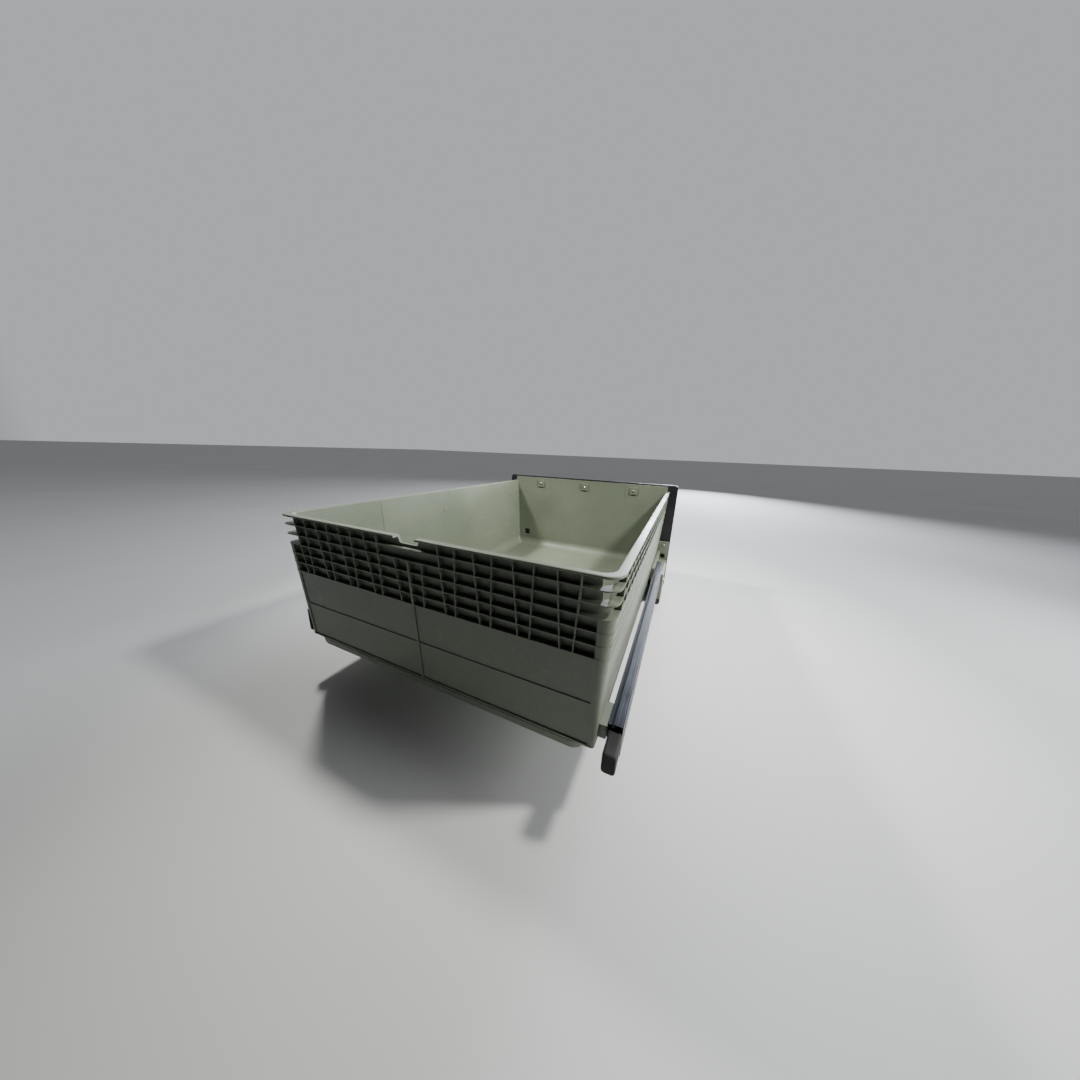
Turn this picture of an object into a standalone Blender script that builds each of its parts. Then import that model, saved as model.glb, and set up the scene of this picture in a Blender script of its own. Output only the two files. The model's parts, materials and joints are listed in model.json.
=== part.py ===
"""Pull-out storage drawer for a vehicle: a ribbed moulded tub behind a front panel, on two telescopic slides.

Metres, +Z up. The front panel faces -Y, and +X is to the right of someone who stands in front of it.
The origin is under the middle of the drawer, level with the bottom edge of the front panel.
"""

import math

import bmesh
import bpy
from mathutils import Vector

# Fits and clearances
SEAM = 0.0003  # between pieces that are screwed or pressed together
RUN_GAP = 0.0003  # between pieces that roll or slide on each other
ROUND_SIDES = 10

# Tub
RIM_WIDTH = 0.560
TUB_LENGTH = 0.806
TUB_DEPTH = 0.246
WALL = 0.0035
FRONT_WALL = 0.005
FRONT_RISE = 0.0157  # the front wall stands this far above the rim
RIM_THICKNESS = 0.008
RIM_EDGE_RADIUS = 0.002
WALL_INSET = 0.0095  # outer wall from the outer edge of the rim, at the rim
DRAFT = math.radians(3.3)
FRONT_DRAFT = math.radians(1.0)
REAR_CORNER_RADIUS = 0.018
FRONT_CORNER_RADIUS = 0.006
FLOOR_RADIUS = 0.030
CORNER_STEPS = 5
RIB_DEPTH = 0.009
RIB_THICKNESS = 0.0035
LATTICE_DEPTH = 0.0952  # the upright ribs run from here to the rim
LATTICE_ROWS = 2
MIDDLE_RIB_HEIGHT = 0.085  # middle of this level rib, above the tub's bottom
LOWEST_RIB_HEIGHT = 0.024
UPRIGHT_RIB_PITCH = 0.090
NOTCH_WIDTH = 0.039
NOTCH_DEPTH = 0.0125
VENT_SIZE = 0.022
VENT_FROM_SIDE = 0.058  # middle of the vent from the rim's outer edge
VENT_HEIGHT = 0.0494  # middle of the vent above the tub's bottom
LUG_LENGTH = 0.040
LUG_HEIGHT = 0.020
LUG_FROM_REAR = 0.030

# Front panel
PANEL_SIDE_MARGIN = 0.0225  # past the rim
PANEL_TOP_MARGIN = 0.020  # above the rim
PANEL_DROP = 0.079  # below the tub
PANEL_THICKNESS = 0.018
PANEL_BORDER_THICKNESS = 0.011
PANEL_RADIUS = 0.010
PANEL_BEVEL = 0.003
PANEL_CORE_SIDE_MARGIN = 0.018  # in from the rim's outer edge
PANEL_CORE_TOP_MARGIN = 0.012

# Slides
SLIDE_HEIGHT = 0.042
SLIDE_THICKNESS = 0.019
SLIDE_OUTSIDE_RIM = 0.0153  # its outer face is this far outside the rim
SLIDE_HEIGHT_ON_TUB = 0.0346  # middle of the slide above the tub's bottom
SLIDE_FROM_REAR = 0.025
SLIDE_FROM_BRACKET = 0.080
DRAWER_MEMBER_FROM_REAR = 0.009  # ahead of the cabinet member's rear end
DRAWER_MEMBER_ON_BRACKET = 0.038
TRAVEL_RESERVE = 0.002  # the travel is this much less than the slide's length
MEMBER_SCREW_INSET = 0.012
MEMBER_SCREW_LENGTH = 0.0068
STEEL = 0.0012
CABINET_FLANGE = 0.010
CABINET_LIP = 0.0015
OUTER_BALL = 0.0034
INNER_BALL = 0.0030
BALL_FROM_OUTER_FACE = 0.008
CAGE_SHEET = 0.0008
CAGE_MARGIN = 0.003
BALLS_PER_ROW = 6
MOUNT_HOLE_RADIUS = 0.0026
MOUNT_HOLES = 4
STOP_OVERHANG = 0.010  # the rear stop reaches this far behind the rim
STOP_WIDTH = 0.016
STOP_HEIGHT = 0.026
STOP_RADIUS = 0.003
STOP_INSET = 0.0015  # its rear face is this much smaller all round

# Front brackets, which carry the front of the slides
BRACKET_INSET = 0.002  # in from the panel's side edge
BRACKET_FROM_RIB = 0.0018
BRACKET_LENGTH = 0.156
BRACKET_BELOW_MEMBER = 0.0038
BRACKET_SKIN = 0.004
BRACKET_HEAD = 0.020  # solid end that holds the detent
BRACKET_POCKETS = 3
PLATE_BELOW_RIB = 0.00225
PLATE_THICKNESS = 0.008
PLATE_HOLE_RADIUS = 0.0085
PLATE_SCREW_LENGTH = 0.0146
PLATE_SCREW_BELOW_TOP = 0.012
PLATE_SCREW_BELOW_DETENT = 0.020
LUG_WALL_RISE = 0.0154  # above the middle of the slide
LUG_WALL_REACH = 0.045
FOOT_HEIGHT = 0.020
FOOT_RADIUS = 0.009

# Side detents
DETENT_BELOW_TOP = 0.0185
DETENT_FROM_REAR = 0.009
DETENT_BORE_RADIUS = 0.005
DETENT_BACK_WALL = 0.0058
DETENT_SLOT_HEIGHT = 0.004
DETENT_SLOT_START = 0.0035  # in from the bracket's outer face
DETENT_SLOT_END = 0.018
PLUNGER_HEAD = 0.0097
PLUNGER_TIP_RADIUS = 0.0031
PLUNGER_PROUD = 0.0053
RETAINER_LENGTH = 0.0028
SPRING_WIRE = 0.0010
SPRING_TURNS = 5
LATCH_SPRING_TURNS = 8

# Front latch
LATCH_BELOW_TUB = 0.039
FLANGE_WIDTH = 0.120
FLANGE_HEIGHT = 0.062
FLANGE_PROUD = 0.0025
CASE_WIDTH = 0.108
CASE_HEIGHT = 0.052
CASE_DEPTH = 0.030
CASE_WALL = 0.002
HOOD_HEIGHT = 0.0125
PIVOT_BELOW_TOP = 0.008
PIVOT_FROM_FRONT = 0.005
PIN_RADIUS = 0.002
BARREL_RADIUS = 0.0045
BARREL_HALF_LENGTH = 0.030
PADDLE_WIDTH = 0.098
PADDLE_THICKNESS = 0.003
PADDLE_DROP = 0.028
ARM_WIDTH = 0.012
ARM_HEIGHT = 0.006
ARM_REACH = 0.040
HOOK_HEIGHT = 0.012
HOOK_LENGTH = 0.008
ARM_SWING = 0.016

# Screws
SCREW_HEAD_RADIUS = 0.0042
SCREW_HEAD_HEIGHT = 0.0024
SCREW_RADIUS = 0.0020
WASHER_SIZE = 0.024
WASHER_THICKNESS = 0.0022
WASHER_X = 0.168
WASHER_BELOW_RIM = 0.0056
WASHER_SCREW_LENGTH = 0.016

# Where the large pieces stand
TOTAL_DEPTH = FLANGE_PROUD + PANEL_THICKNESS + SEAM + TUB_LENGTH + STOP_OVERHANG
PANEL_FRONT_Y = FLANGE_PROUD - TOTAL_DEPTH / 2
TUB_FRONT_Y = PANEL_FRONT_Y + PANEL_THICKNESS + SEAM
TUB_REAR_Y = TUB_FRONT_Y + TUB_LENGTH
BORDER_REAR_Y = PANEL_FRONT_Y + PANEL_BORDER_THICKNESS
TUB_BOTTOM_Z = PANEL_DROP
RIM_Z = TUB_BOTTOM_Z + TUB_DEPTH
PANEL_HEIGHT = RIM_Z + PANEL_TOP_MARGIN
PANEL_WIDTH = RIM_WIDTH + 2 * PANEL_SIDE_MARGIN
SLIDE_Z = TUB_BOTTOM_Z + SLIDE_HEIGHT_ON_TUB
SLIDE_OUTER_X = RIM_WIDTH / 2 + SLIDE_OUTSIDE_RIM
SLIDE_INNER_X = SLIDE_OUTER_X - SLIDE_THICKNESS
PLATE_FRONT_Y = BORDER_REAR_Y + SEAM
PLATE_REAR_Y = PLATE_FRONT_Y + PLATE_THICKNESS
BRACKET_REAR_Y = PLATE_FRONT_Y + BRACKET_LENGTH
SLIDE_REAR_Y = TUB_REAR_Y - SLIDE_FROM_REAR
SLIDE_FRONT_Y = BRACKET_REAR_Y + SLIDE_FROM_BRACKET
SLIDE_LENGTH = SLIDE_REAR_Y - SLIDE_FRONT_Y
DRAWER_TRAVEL = SLIDE_LENGTH - TRAVEL_RESERVE
DRAWER_MEMBER_REAR_Y = SLIDE_REAR_Y - DRAWER_MEMBER_FROM_REAR
DRAWER_MEMBER_FRONT_Y = BRACKET_REAR_Y - DRAWER_MEMBER_ON_BRACKET
LATCH_Z = TUB_BOTTOM_Z - LATCH_BELOW_TUB
PIVOT_Y = PANEL_FRONT_Y + PIVOT_FROM_FRONT
PIVOT_Z = LATCH_Z + CASE_HEIGHT / 2 - PIVOT_BELOW_TOP
SIDES = (("left", -1), ("right", 1))
STOP_SIDE = SIDES[0]  # only this slide has a rear stop

# Heights inside a slide, measured from its middle
CABINET_RACE = SLIDE_HEIGHT / 2 - STEEL
OUTER_BALL_Z = CABINET_RACE - RUN_GAP - OUTER_BALL / 2
MIDDLE_TOP = OUTER_BALL_Z - OUTER_BALL / 2 - RUN_GAP
INNER_BALL_Z = MIDDLE_TOP - STEEL - RUN_GAP - INNER_BALL / 2
DRAWER_MEMBER_TOP = INNER_BALL_Z - INNER_BALL / 2 - RUN_GAP

# Depths inside a slide, measured outwards from its inner face
BALL_DEPTH = SLIDE_THICKNESS - BALL_FROM_OUTER_FACE
OUTER_CAGE_WEB = SLIDE_THICKNESS - STEEL - RUN_GAP - CAGE_SHEET
MIDDLE_WEB = OUTER_CAGE_WEB - RUN_GAP - STEEL
INNER_CAGE_WEB = MIDDLE_WEB - RUN_GAP - CAGE_SHEET
DRAWER_FLANGE_END = INNER_CAGE_WEB - RUN_GAP
CAGE_LIP_REACH = 0.0016  # a cage's lips reach this far past the middle of the balls

# Level ribs and the brackets beside the tub
LOWEST_RIB_INSET = WALL_INSET + (TUB_DEPTH - LOWEST_RIB_HEIGHT) * math.tan(DRAFT) - RIB_DEPTH
BRACKET_OUTER_X = PANEL_WIDTH / 2 - BRACKET_INSET
BRACKET_INNER_X = RIM_WIDTH / 2 - LOWEST_RIB_INSET + BRACKET_FROM_RIB
BRACKET_WIDTH = BRACKET_OUTER_X - BRACKET_INNER_X
BRACKET_TOP = SLIDE_Z - DRAWER_MEMBER_TOP - BRACKET_BELOW_MEMBER
PLATE_TOP = TUB_BOTTOM_Z + MIDDLE_RIB_HEIGHT - RIB_THICKNESS / 2 - PLATE_BELOW_RIB
DETENT_Y = BRACKET_REAR_Y - DETENT_FROM_REAR
DETENT_Z = BRACKET_TOP - DETENT_BELOW_TOP
DETENT_BORE_DEPTH = BRACKET_WIDTH - DETENT_BACK_WALL


def clear_scene():
    for old in list(bpy.data.objects):
        bpy.data.objects.remove(old, do_unlink=True)


def material(name, colour, roughness, metallic=0.0):
    made = bpy.data.materials.new(name)
    made.use_nodes = True
    shader = made.node_tree.nodes["Principled BSDF"]
    shader.inputs["Base Color"].default_value = (*colour, 1.0)
    shader.inputs["Roughness"].default_value = roughness
    shader.inputs["Metallic"].default_value = metallic
    made.diffuse_color = (*colour, 1.0)
    return made


def box(low, high):
    """A box between two corners, whichever way round they are given."""
    shape = bmesh.new()
    corners = bmesh.ops.create_cube(shape, size=1.0)["verts"]
    for corner in corners:
        for axis in range(3):
            end = high if corner.co[axis] > 0 else low
            corner.co[axis] = end[axis]
    return outward(shape)


def outward(shape):
    shape.normal_update()
    bmesh.ops.recalc_face_normals(shape, faces=shape.faces)
    return shape


def loft(rings):
    """A closed skin through rings that have the same number of points."""
    shape = bmesh.new()
    made = [[shape.verts.new(point) for point in ring] for ring in rings]
    count = len(rings[0])
    for lower, upper in zip(made, made[1:]):
        for k in range(count):
            after = (k + 1) % count
            shape.faces.new((lower[k], lower[after], upper[after], upper[k]))
    shape.faces.new(made[0])
    shape.faces.new(made[-1])
    return outward(shape)


def prism_along_y(outline, start, end):
    """An outline in X and Z, drawn out along Y."""
    return loft([[(x, y, z) for x, z in outline] for y in (start, end)])


def turned(profile, centre, axis, sides=ROUND_SIDES):
    """A round piece from (distance along the axis, radius) pairs."""
    along = Vector(axis)
    across = along.orthogonal().normalized()
    other = along.cross(across)
    rings = []
    for distance, radius in profile:
        middle = Vector(centre) + along * distance
        turn = [math.tau * k / sides for k in range(sides)]
        rings.append([middle + radius * (across * math.cos(a) + other * math.sin(a)) for a in turn])
    return loft(rings)


def dome(base, height, radius):
    """Profile of a rounded end, from near its tip to its full radius."""
    angles = [math.pi / 2 * step / 3 for step in (1, 2, 3)]
    return [(base - height * math.cos(a), radius * math.sin(a)) for a in angles]


def rounded_outline(low, high, radii, steps):
    """Points round a rectangle. Radii are for the corners (+,+), (-,+), (-,-) and (+,-)."""
    signs = ((1, 1), (-1, 1), (-1, -1), (1, -1))
    points = []
    for quarter, ((sx, sy), radius) in enumerate(zip(signs, radii)):
        x = (high[0] if sx > 0 else low[0]) - sx * radius
        y = (high[1] if sy > 0 else low[1]) - sy * radius
        for step in range(steps + 1):
            angle = math.radians(90 * quarter + 90 * step / steps)
            points.append((x + radius * math.cos(angle), y + radius * math.sin(angle)))
    return points


def merged(shapes):
    """Shapes that stay clear of each other, in one mesh, for use as a cutter or an addition."""
    whole = bmesh.new()
    for shape in shapes:
        part = bpy.data.meshes.new("part")
        shape.to_mesh(part)
        whole.from_mesh(part)
        bpy.data.meshes.remove(part)
        shape.free()
    return whole


def add_object(name, shape, finish=None, origin=(0, 0, 0), parent=None, smooth=False):
    """Makes an object whose own origin is at the given point in the assembly."""
    bmesh.ops.translate(shape, verts=shape.verts, vec=-Vector(origin))
    mesh = bpy.data.meshes.new(name)
    shape.to_mesh(mesh)
    shape.free()
    if smooth:
        mesh.shade_smooth()
        mesh.set_sharp_from_angle(angle=math.radians(35))
    made = bpy.data.objects.new(name, mesh)
    bpy.context.scene.collection.objects.link(made)
    made.location = Vector(origin)
    if parent:
        made.parent = parent
        made.location = Vector(origin) - parent.location
    if finish:
        mesh.materials.append(finish)
    return made


def shape_with(target, tool, operation):
    """Cuts a helper away from the target, or joins it on."""
    helper = add_object(f"{target.name}_{operation.lower()}_{len(target.modifiers)}", tool)
    helper.hide_render = True
    helper.display_type = "WIRE"
    modifier = target.modifiers.new(helper.name, "BOOLEAN")
    modifier.object = helper
    modifier.operation = operation
    modifier.solver = "EXACT"


def cut(target, *tools):
    shape_with(target, merged(tools), "DIFFERENCE")


def join(target, *tools):
    shape_with(target, merged(tools), "UNION")


def body_empty(name, location):
    made = bpy.data.objects.new(name, None)
    made.location = location
    bpy.context.scene.collection.objects.link(made)
    return made


def wall_inset(depth):
    """From the outer edge of the rim to the outer wall, this far below the rim."""
    return WALL_INSET + depth * math.tan(DRAFT)


def tub_ring(depth, inset, front_y):
    """A level outline of the tub: its sides and rear stand in from the rim's outer edge."""
    radius = max(REAR_CORNER_RADIUS - inset, FRONT_CORNER_RADIUS)
    half = RIM_WIDTH / 2 - inset
    corners = (radius, radius, FRONT_CORNER_RADIUS, FRONT_CORNER_RADIUS)
    outline = rounded_outline((-half, front_y), (half, TUB_REAR_Y - inset), corners, CORNER_STEPS)
    return [(x, y, RIM_Z - depth) for x, y in outline]


def rib_levels():
    """Middle of each level rib below the rim, from the lowest up."""
    low = [TUB_DEPTH - LOWEST_RIB_HEIGHT, TUB_DEPTH - MIDDLE_RIB_HEIGHT]
    return low + [LATTICE_DEPTH * row / LATTICE_ROWS for row in range(LATTICE_ROWS, 0, -1)]


def outer_tub_profile():
    """Depth below the rim and inset of the tub's outside, from the bottom up, with its level ribs."""
    profile = []
    fillet_top = TUB_DEPTH - FLOOR_RADIUS
    for step in range(CORNER_STEPS + 1):
        angle = math.pi / 2 * step / CORNER_STEPS
        depth = fillet_top + FLOOR_RADIUS * math.cos(angle)
        profile.append((depth, wall_inset(fillet_top) + FLOOR_RADIUS * (1 - math.sin(angle))))
    profile = [point for point in profile if point[0] > rib_levels()[0] + RIB_THICKNESS / 2]
    for level in rib_levels():
        lower = level + RIB_THICKNESS / 2
        upper = level - RIB_THICKNESS / 2
        for depth, proud in ((lower, 0), (lower, RIB_DEPTH), (upper, RIB_DEPTH), (upper, 0)):
            profile.append((depth, wall_inset(depth) - proud))
    profile.append((RIM_THICKNESS, wall_inset(RIM_THICKNESS)))
    profile.append((RIM_THICKNESS, 0.0))
    profile.append((RIM_EDGE_RADIUS, 0.0))
    profile.append((0.0, RIM_EDGE_RADIUS))
    return profile


def upright_ribs():
    """Ribs between the level ribs and the rim, on the rear and both sides."""
    top = RIM_Z - RIM_THICKNESS / 2
    bottom = RIM_Z - LATTICE_DEPTH
    tip = wall_inset(LATTICE_DEPTH) - RIB_DEPTH
    root = wall_inset(0) + WALL / 2
    half = RIB_THICKNESS / 2
    ribs = []
    rear_count = int((RIM_WIDTH / 2 - REAR_CORNER_RADIUS) / UPRIGHT_RIB_PITCH)
    for k in range(-rear_count, rear_count + 1):
        x = k * UPRIGHT_RIB_PITCH
        ribs.append(box((x - half, TUB_REAR_Y - root, bottom), (x + half, TUB_REAR_Y - tip, top)))
    for side in (-1, 1):
        edge = side * RIM_WIDTH / 2
        for k in range(1, int((TUB_LENGTH - REAR_CORNER_RADIUS) / UPRIGHT_RIB_PITCH) + 1):
            y = TUB_FRONT_Y + k * UPRIGHT_RIB_PITCH
            ribs.append(box((edge - side * root, y - half, bottom), (edge - side * tip, y + half, top)))
    return ribs


def tub_cavity():
    floor_depth = TUB_DEPTH - WALL
    radius = FLOOR_RADIUS - WALL
    fillet_top = floor_depth - radius
    levels = []
    for step in range(CORNER_STEPS + 1):
        angle = math.pi / 2 * step / CORNER_STEPS
        levels.append((fillet_top + radius * math.cos(angle), radius * (1 - math.sin(angle))))
    levels += [(0.0, 0.0), (-2 * FRONT_RISE, 0.0)]
    rings = []
    for depth, more in levels:
        front = TUB_FRONT_Y + FRONT_WALL + max(depth, 0) * math.tan(FRONT_DRAFT) + more
        rings.append(tub_ring(depth, wall_inset(max(depth, 0)) + WALL + more, front))
    return loft(rings)


def slide_lug(side):
    """Block at the tub's rear corner that the slide's drawer member is screwed to."""
    outer = side * (SLIDE_INNER_X - SEAM)
    inner = side * (RIM_WIDTH / 2 - wall_inset(RIM_Z - SLIDE_Z) - WALL / 2)
    front = lug_screw_y() - LUG_LENGTH / 2
    low = SLIDE_Z - LUG_HEIGHT / 2
    return box((inner, front, low), (outer, front + LUG_LENGTH, low + LUG_HEIGHT))


def lug_screw_y():
    return TUB_REAR_Y - LUG_FROM_REAR - LUG_LENGTH / 2


def make_tub(finish, parent):
    outer = [
        tub_ring(depth, inset, TUB_FRONT_Y - RIM_WIDTH / 10 + inset)
        for depth, inset in outer_tub_profile()
    ]
    tub = add_object("tub", loft(outer), finish, (0, TUB_FRONT_Y, RIM_Z), parent)
    join(tub, *upright_ribs())
    rise_half = RIM_WIDTH / 2 - wall_inset(0)
    rise = box(
        (-rise_half, TUB_FRONT_Y - SEAM, RIM_Z - RIM_THICKNESS),
        (rise_half, TUB_FRONT_Y + FRONT_WALL, RIM_Z + FRONT_RISE),
    )
    join(tub, rise)
    join(tub, slide_lug(-1), slide_lug(1))
    cut(tub, tub_cavity())
    far = RIM_WIDTH
    cut(tub, box((-far, TUB_FRONT_Y - far, -far), (far, TUB_FRONT_Y, far)))
    notch = box(
        (-NOTCH_WIDTH / 2, TUB_REAR_Y - 2 * REAR_CORNER_RADIUS, RIM_Z - NOTCH_DEPTH),
        (NOTCH_WIDTH / 2, TUB_REAR_Y + REAR_CORNER_RADIUS, RIM_Z + NOTCH_DEPTH),
    )
    vent_x = RIM_WIDTH / 2 - VENT_FROM_SIDE
    vent_z = TUB_BOTTOM_Z + VENT_HEIGHT
    vent = box(
        (vent_x - VENT_SIZE / 2, TUB_FRONT_Y - FRONT_WALL, vent_z - VENT_SIZE / 2),
        (vent_x + VENT_SIZE / 2, TUB_FRONT_Y + 3 * FRONT_WALL, vent_z + VENT_SIZE / 2),
    )
    holes = [washer_screw_hole(x) for _, x in washer_positions()]
    holes += [member_hole(side, lug_screw_y()) for _, side in SIDES]
    cut(tub, notch, vent, *holes)


def washer_positions():
    return (("left", -WASHER_X), ("middle", 0.0), ("right", WASHER_X))


def washer_seat_y():
    """Rear face of the tub's front wall at the washers' lower edges, with the seam on it."""
    lower_edge = WASHER_BELOW_RIM + WASHER_SIZE / 2
    return TUB_FRONT_Y + FRONT_WALL + lower_edge * math.tan(FRONT_DRAFT) + SEAM


def hole(start, axis, length):
    """A cutter for the clearance hole of one screw."""
    return turned(((0, SCREW_RADIUS + SEAM), (length, SCREW_RADIUS + SEAM)), start, axis)


def washer_screw_hole(x):
    start = (x, washer_seat_y() + WASHER_THICKNESS + SEAM, RIM_Z - WASHER_BELOW_RIM)
    return hole(start, (0, -1, 0), WASHER_SCREW_LENGTH + SEAM)


def make_screw(name, seat, axis, length, finish, parent):
    """A pan-head screw. Its head stands on the seat, and its shank goes along the axis."""
    profile = dome(0, SCREW_HEAD_HEIGHT, SCREW_HEAD_RADIUS) + [(0, SCREW_RADIUS), (length, SCREW_RADIUS)]
    add_object(name, turned(profile, seat, axis), finish, seat, parent, smooth=True)


def make_washers(olive, zinc, parent):
    half = WASHER_SIZE / 2
    for name, x in washer_positions():
        seat_y = washer_seat_y()
        centre = (x, seat_y, RIM_Z - WASHER_BELOW_RIM)
        low = (x - half, seat_y, centre[2] - half)
        high = (x + half, seat_y + WASHER_THICKNESS, centre[2] + half)
        washer = add_object(f"square_washer_{name}", box(low, high), olive, centre, parent)
        cut(washer, washer_screw_hole(x))
        seat = (x, seat_y + WASHER_THICKNESS + SEAM, centre[2])
        make_screw(f"washer_screw_{name}", seat, (0, -1, 0), WASHER_SCREW_LENGTH, zinc, parent)


def make_panel(finish, parent):
    half = PANEL_WIDTH / 2
    radii = (PANEL_RADIUS,) * 4
    front = rounded_outline(
        (-half + PANEL_BEVEL, PANEL_BEVEL),
        (half - PANEL_BEVEL, PANEL_HEIGHT - PANEL_BEVEL),
        (PANEL_RADIUS - PANEL_BEVEL,) * 4,
        CORNER_STEPS,
    )
    full = rounded_outline((-half, 0), (half, PANEL_HEIGHT), radii, CORNER_STEPS)
    rings = (
        (front, PANEL_FRONT_Y),
        (full, PANEL_FRONT_Y + PANEL_BEVEL),
        (full, BORDER_REAR_Y),
    )
    plate = loft([[(x, y, z) for x, z in outline] for outline, y in rings])
    panel = add_object("front_panel", plate, finish, (0, PANEL_FRONT_Y, 0), parent)
    core_half = RIM_WIDTH / 2 - PANEL_CORE_SIDE_MARGIN
    core = box(
        (-core_half, BORDER_REAR_Y - SEAM, TUB_BOTTOM_Z),
        (core_half, TUB_FRONT_Y - SEAM, PANEL_HEIGHT - PANEL_CORE_TOP_MARGIN),
    )
    join(panel, core)
    window = box(
        (-CASE_WIDTH / 2 - SEAM, PANEL_FRONT_Y - SEAM, LATCH_Z - CASE_HEIGHT / 2 - SEAM),
        (CASE_WIDTH / 2 + SEAM, BORDER_REAR_Y + SEAM, LATCH_Z + CASE_HEIGHT / 2 + SEAM),
    )
    holes = [washer_screw_hole(x) for _, x in washer_positions()]
    holes += [plate_screw_hole(side, z) for _, side in SIDES for z in plate_screw_heights()]
    cut(panel, window, *holes)


def cabinet_outline():
    """Outer slide member, a channel open towards the tub. Depth is from the slide's inner face."""
    top = SLIDE_HEIGHT / 2
    lip = SLIDE_THICKNESS - CABINET_FLANGE - STEEL
    half = (
        (SLIDE_THICKNESS, top),
        (lip, top),
        (lip, CABINET_RACE - CABINET_LIP),
        (lip + STEEL, CABINET_RACE - CABINET_LIP),
        (lip + STEEL, CABINET_RACE),
        (SLIDE_THICKNESS - STEEL, CABINET_RACE),
    )
    return mirrored(half)


def middle_outline():
    web_end = MIDDLE_WEB + STEEL
    tip = BALL_DEPTH - CABINET_FLANGE / 2
    half = (
        (web_end, MIDDLE_TOP),
        (tip, MIDDLE_TOP),
        (tip, MIDDLE_TOP - STEEL),
        (MIDDLE_WEB, MIDDLE_TOP - STEEL),
    )
    return mirrored(half)


def drawer_member_outline():
    half = (
        (0.0, DRAWER_MEMBER_TOP),
        (DRAWER_FLANGE_END, DRAWER_MEMBER_TOP),
        (DRAWER_FLANGE_END, DRAWER_MEMBER_TOP - STEEL),
        (STEEL, DRAWER_MEMBER_TOP - STEEL),
    )
    return mirrored(half)


def cage_outline(web, ball_z):
    tip = BALL_DEPTH - CAGE_LIP_REACH
    half = (
        (web + CAGE_SHEET, ball_z + CAGE_SHEET / 2),
        (tip, ball_z + CAGE_SHEET / 2),
        (tip, ball_z - CAGE_SHEET / 2),
        (web, ball_z - CAGE_SHEET / 2),
    )
    return mirrored(half)


def mirrored(half):
    """The whole channel outline from its upper half."""
    return list(half) + [(depth, -height) for depth, height in reversed(half)]


def slide_prism(outline, side, start, end):
    placed = [(side * (SLIDE_INNER_X + depth), SLIDE_Z + height) for depth, height in outline]
    return prism_along_y(placed, start, end)


def slide_point(side, y):
    return (side * (SLIDE_INNER_X + SLIDE_THICKNESS / 2), y, SLIDE_Z)


def make_cabinet_member(name, side, finish, parent):
    shape = slide_prism(cabinet_outline(), side, SLIDE_FRONT_Y, SLIDE_REAR_Y)
    origin = slide_point(side, SLIDE_FRONT_Y)
    member = add_object(f"cabinet_member_{name}", shape, finish, origin, parent)
    profile = ((0, MOUNT_HOLE_RADIUS), (3 * STEEL, MOUNT_HOLE_RADIUS))
    holes = []
    for k in range(MOUNT_HOLES):
        y = SLIDE_FRONT_Y + SLIDE_LENGTH * (k + 0.5) / MOUNT_HOLES
        holes.append(turned(profile, (side * (SLIDE_OUTER_X + STEEL), y, SLIDE_Z), (-side, 0, 0)))
    cut(member, *holes)


def make_middle_member(name, side, finish, parent):
    shape = slide_prism(middle_outline(), side, SLIDE_FRONT_Y, SLIDE_REAR_Y)
    add_object(f"middle_member_{name}", shape, finish, slide_point(side, SLIDE_FRONT_Y), parent)


def member_screw_positions():
    """Y of the screws that hold the drawer member to the front bracket, over it and on its lug wall."""
    return (DRAWER_MEMBER_FRONT_Y + MEMBER_SCREW_INSET, BRACKET_REAR_Y + MEMBER_SCREW_INSET)


def make_drawer_member(name, side, steel, zinc, parent):
    shape = slide_prism(drawer_member_outline(), side, DRAWER_MEMBER_FRONT_Y, DRAWER_MEMBER_REAR_Y)
    origin = slide_point(side, DRAWER_MEMBER_FRONT_Y)
    member = add_object(f"drawer_member_{name}", shape, steel, origin, parent)
    places = list(zip(("front", "second", "rear"), (*member_screw_positions(), lug_screw_y())))
    cut(member, *[member_hole(side, y) for _, y in places])
    for place, y in places:
        seat = (side * (SLIDE_INNER_X + STEEL + SEAM), y, SLIDE_Z)
        make_screw(f"slide_screw_{place}_{name}", seat, (-side, 0, 0), MEMBER_SCREW_LENGTH, zinc, parent)


def member_hole(side, y):
    """Cutter for a screw that holds the drawer member; it ends just past the screw's tip."""
    start = (side * (SLIDE_INNER_X + 2 * STEEL), y, SLIDE_Z)
    return hole(start, (-side, 0, 0), STEEL + MEMBER_SCREW_LENGTH)


def make_cage(title, name, side, row, finish, parent):
    """Strip that keeps one set of balls apart, made in one piece with them."""
    web, ball_z, ball = row
    overlap_front = SLIDE_FRONT_Y + DRAWER_TRAVEL / 4 + CAGE_MARGIN
    overlap_rear = SLIDE_REAR_Y - DRAWER_TRAVEL / 4 - CAGE_MARGIN
    shape = slide_prism(cage_outline(web, ball_z), side, overlap_front, overlap_rear)
    cage = add_object(f"{title}_{name}", shape, finish, slide_point(side, overlap_front), parent)
    balls = []
    pitch = (overlap_rear - overlap_front) / BALLS_PER_ROW
    for k in range(BALLS_PER_ROW):
        for level in (-1, 1):
            y = overlap_front + pitch * (k + 0.5)
            centre = (side * (SLIDE_INNER_X + BALL_DEPTH), y, SLIDE_Z + level * ball_z)
            balls.append(ball_shape(centre, ball / 2))
    join(cage, *balls)


def ball_shape(centre, radius):
    shape = bmesh.new()
    bmesh.ops.create_uvsphere(shape, u_segments=8, v_segments=6, radius=radius)
    bmesh.ops.translate(shape, verts=shape.verts, vec=Vector(centre))
    return outward(shape)


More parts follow.
